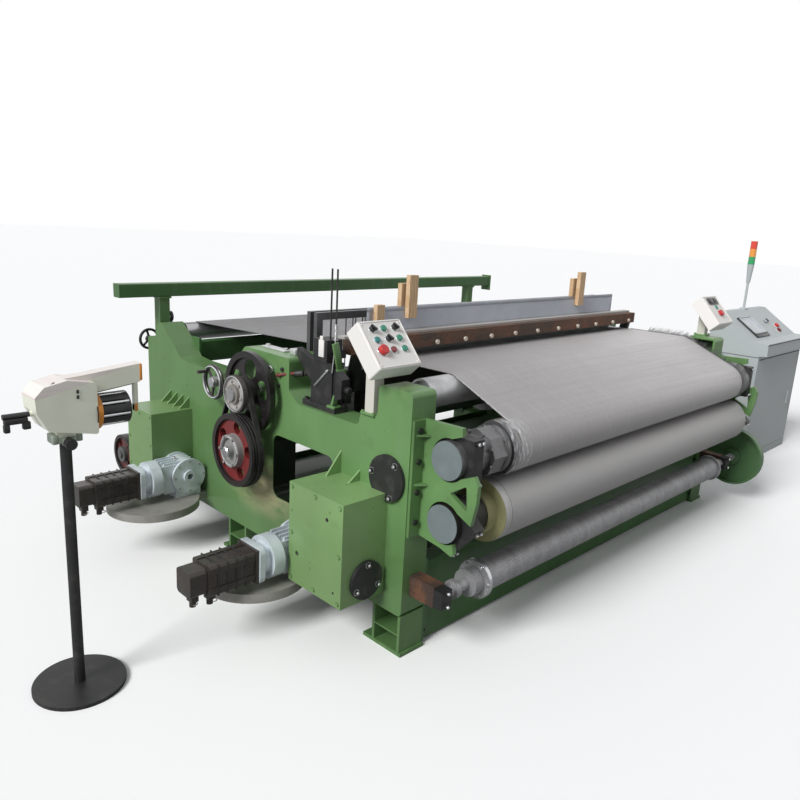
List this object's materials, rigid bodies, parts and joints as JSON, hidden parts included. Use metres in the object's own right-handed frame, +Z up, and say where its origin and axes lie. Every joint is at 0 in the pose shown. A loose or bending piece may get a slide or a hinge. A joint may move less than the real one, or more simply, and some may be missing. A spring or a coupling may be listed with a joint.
{
  "type": "wire mesh weaving machine",
  "caption": "Wide weaving machine for woven wire mesh with cloth rolls, reed, drive wheels, control pendants, a control console and a weft feeder on a stand.",
  "frame": {"origin": "middle of the rectangle of the four corner anchor holes, on the floor", "axes": "+X across the machine from the drive side to the console side, +Y from the cloth side to the warp side, +Z up"},
  "size_m": [6.016, 2.502, 1.7089],
  "materials": {
    "frame_green": "semi-gloss enamel over cast plate",
    "dark_green": "semi-gloss enamel",
    "box_green": "satin enamel",
    "black_steel": "blackened, satin",
    "bright_steel": "ground",
    "chrome": "polished",
    "steel_mesh": "woven wire",
    "gear_grey": "cast, satin",
    "motor_black": "satin",
    "pulley_red": "satin enamel",
    "belt_black": "matt",
    "tray_grey": "worn",
    "cap_brown": "rust-brown scale",
    "bearing_brown": "oiled, brown",
    "clamp_wood": "raw pine",
    "pendant_white": "satin powder coat",
    "cabinet_white": "satin powder coat",
    "button_black": "gloss",
    "button_red": "gloss",
    "lamp_green": "translucent look",
    "screen_black": "gloss",
    "lens_red": "translucent look",
    "feeder_grey": "satin moulded",
    "feeder_orange": "gloss",
    "reed_steel": "bluish, dull"
  },
  "bodies": {
    "machine": {"bearing_caps": "black_steel", "cabinet_body": "cabinet_white", "console_top": "cabinet_white", "cross_beams": "dark_green", "drive_belt": "belt_black", "drive_box_covers": "box_green", "feeder_body": "feeder_grey", "feeder_drum": "black_steel", "feeder_stand": "black_steel", "flange_caps": "black_steel", "insertion_unit": "black_steel", "letoff_box": "box_green", "lower_roll_bearings": "bearing_brown", "mesh_web": "steel_mesh", "motor_shelves": "tray_grey", "pendant_lamps": "lamp_green", "pendant_left": "pendant_white", "pendant_posts": "frame_green", "pendant_right": "pendant_white", "roll_bracket_left": "frame_green", "roll_bracket_right": "frame_green", "servo_motors": "motor_black", "side_frame_left": "frame_green", "side_frame_right": "frame_green", "signal_lenses": "lens_red", "takeup_box": "box_green", "top_beam": "dark_green", "top_beam_brackets": "dark_green", "touch_screen": "screen_black", "warp_sheet": "steel_mesh", "worm_gearboxes": "gear_grey"},
    "main_shaft_body": {"main_shaft": "bright_steel", "flywheel": "black_steel", "shaft_pulley": "gear_grey"},
    "red_pulley_body": {"red_pulley": "pulley_red"},
    "letoff_wheel_body": {"letoff_wheel": "pulley_red"},
    "sley_body": {"sley": "dark_green", "sley_cap": "cap_brown", "reed": "reed_steel", "wood_clamps": "clamp_wood"},
    "heald_front_body": {"heald_frame_front": "gear_grey"},
    "heald_rear_body": {"heald_frame_rear": "gear_grey"},
    "warp_beam_body": {"warp_beam": "steel_mesh"},
    "back_roll_body": {"back_roll": "bright_steel"},
    "guide_roller_body": {"guide_roller": "gear_grey"},
    "breast_roll_body": {"breast_roll": "bright_steel"},
    "middle_roll_body": {"middle_roll": "bright_steel"},
    "lower_roll_body": {"lower_roll": "bright_steel", "brake_disc": "frame_green"},
    "handwheel_body": {"handwheel": "chrome"},
    "tension_wheel_body": {"tension_wheel": "black_steel"},
    "feeder_disc_body": {"feeder_disc": "feeder_orange"},
    "cabinet_door_body": {"cabinet_door": "cabinet_white"},
    "beam_lever_body": {"beam_lever": "black_steel"},
    "button_a_body": {"button_a": "button_black"},
    "button_b_body": {"button_b": "button_black"},
    "button_c_body": {"button_c": "button_black"},
    "stop_left_body": {"stop_button_left": "button_red"},
    "stop_right_body": {"stop_button_right": "button_red"},
    "stop_console_body": {"stop_button_console": "button_red"}
  },
  "joints": [
    {"name": "main_shaft_turn", "type": "hinge", "parent": "machine", "child": "main_shaft_body", "pos_m": [-1.4325, -0.161, 0.906], "axis": [1, 0, 0], "continuous": true},
    {"name": "red_pulley_turn", "type": "hinge", "parent": "machine", "child": "red_pulley_body", "pos_m": [-1.4325, -0.157, 0.636], "axis": [1, 0, 0], "continuous": true},
    {"name": "letoff_wheel_turn", "type": "hinge", "parent": "machine", "child": "letoff_wheel_body", "pos_m": [-1.4325, 0.895, 0.346], "axis": [1, 0, 0], "continuous": true},
    {"name": "sley_swing", "type": "hinge", "parent": "machine", "child": "sley_body", "pos_m": [0, -0.521, 0.3], "axis": [1, 0, 0], "range_deg": [-5.5, 8.1]},
    {"name": "heald_front_lift", "type": "slide", "parent": "machine", "child": "heald_front_body", "axis": [0, 0, 1], "range_m": [-0.045, 0.045]},
    {"name": "heald_rear_lift", "type": "slide", "parent": "machine", "child": "heald_rear_body", "axis": [0, 0, 1], "range_m": [-0.045, 0.045]},
    {"name": "warp_beam_turn", "type": "hinge", "parent": "machine", "child": "warp_beam_body", "pos_m": [0, 0.604, 0.5], "axis": [1, 0, 0], "continuous": true},
    {"name": "back_roll_turn", "type": "hinge", "parent": "machine", "child": "back_roll_body", "pos_m": [0, 0.799, 1.04], "axis": [1, 0, 0], "continuous": true},
    {"name": "guide_roller_turn", "type": "hinge", "parent": "machine", "child": "guide_roller_body", "pos_m": [0, -1.011, 1.036], "axis": [1, 0, 0], "continuous": true},
    {"name": "breast_roll_turn", "type": "hinge", "parent": "machine", "child": "breast_roll_body", "pos_m": [0, -1.299, 0.862], "axis": [1, 0, 0], "continuous": true},
    {"name": "middle_roll_turn", "type": "hinge", "parent": "machine", "child": "middle_roll_body", "pos_m": [0, -1.297, 0.611], "axis": [1, 0, 0], "continuous": true},
    {"name": "lower_roll_turn", "type": "hinge", "parent": "machine", "child": "lower_roll_body", "pos_m": [0, -1.291, 0.305], "axis": [1, 0, 0], "continuous": true},
    {"name": "handwheel_turn", "type": "hinge", "parent": "machine", "child": "handwheel_body", "pos_m": [-1.4325, 0.149, 0.893], "axis": [1, 0, 0], "continuous": true},
    {"name": "tension_wheel_turn", "type": "hinge", "parent": "machine", "child": "tension_wheel_body", "pos_m": [-1.4025, 0.959, 0.975], "axis": [0, 1, 0], "continuous": true},
    {"name": "feeder_disc_turn", "type": "hinge", "parent": "machine", "child": "feeder_disc_body", "pos_m": [-2.3425, -0.521, 1.023], "axis": [1, 0, 0], "continuous": true},
    {"name": "cabinet_door_hinge", "type": "hinge", "parent": "machine", "child": "cabinet_door_body", "pos_m": [2.4515, -1.062, 0.4], "axis": [0, 0, -1], "range_deg": [0, 110]},
    {"name": "beam_lever_turn", "type": "hinge", "parent": "machine", "child": "beam_lever_body", "pos_m": [-1.3125, 0.923, 1.088], "axis": [1, 0, 0], "range_deg": [-50, 35]},
    {"name": "button_a_press", "type": "slide", "parent": "machine", "child": "button_a_body", "axis": [0, 0.7501, -0.6613], "range_m": [0, 0.004], "stiffness_N_per_m": 600, "springref_m": -0.002},
    {"name": "button_b_press", "type": "slide", "parent": "machine", "child": "button_b_body", "axis": [0, 0.7501, -0.6613], "range_m": [0, 0.004], "stiffness_N_per_m": 600, "springref_m": -0.002},
    {"name": "button_c_press", "type": "slide", "parent": "machine", "child": "button_c_body", "axis": [0, 0.7501, -0.6613], "range_m": [0, 0.004], "stiffness_N_per_m": 600, "springref_m": -0.002},
    {"name": "stop_left_press", "type": "slide", "parent": "machine", "child": "stop_left_body", "axis": [0, 0.7501, -0.6613], "range_m": [0, 0.004], "stiffness_N_per_m": 600, "springref_m": -0.002},
    {"name": "stop_right_press", "type": "slide", "parent": "machine", "child": "stop_right_body", "axis": [0, 0.7501, -0.6613], "range_m": [0, 0.004], "stiffness_N_per_m": 600, "springref_m": -0.002},
    {"name": "stop_console_press", "type": "slide", "parent": "machine", "child": "stop_console_body", "axis": [0, 0.5801, -0.8145], "range_m": [0, 0.004], "stiffness_N_per_m": 600, "springref_m": -0.002}
  ],
  "couplings": [
    {"joint": "red_pulley_turn", "follows": "main_shaft_turn", "ratio": 0.40698},
    {"joint": "heald_rear_lift", "follows": "heald_front_lift", "ratio": -1}
  ]
}
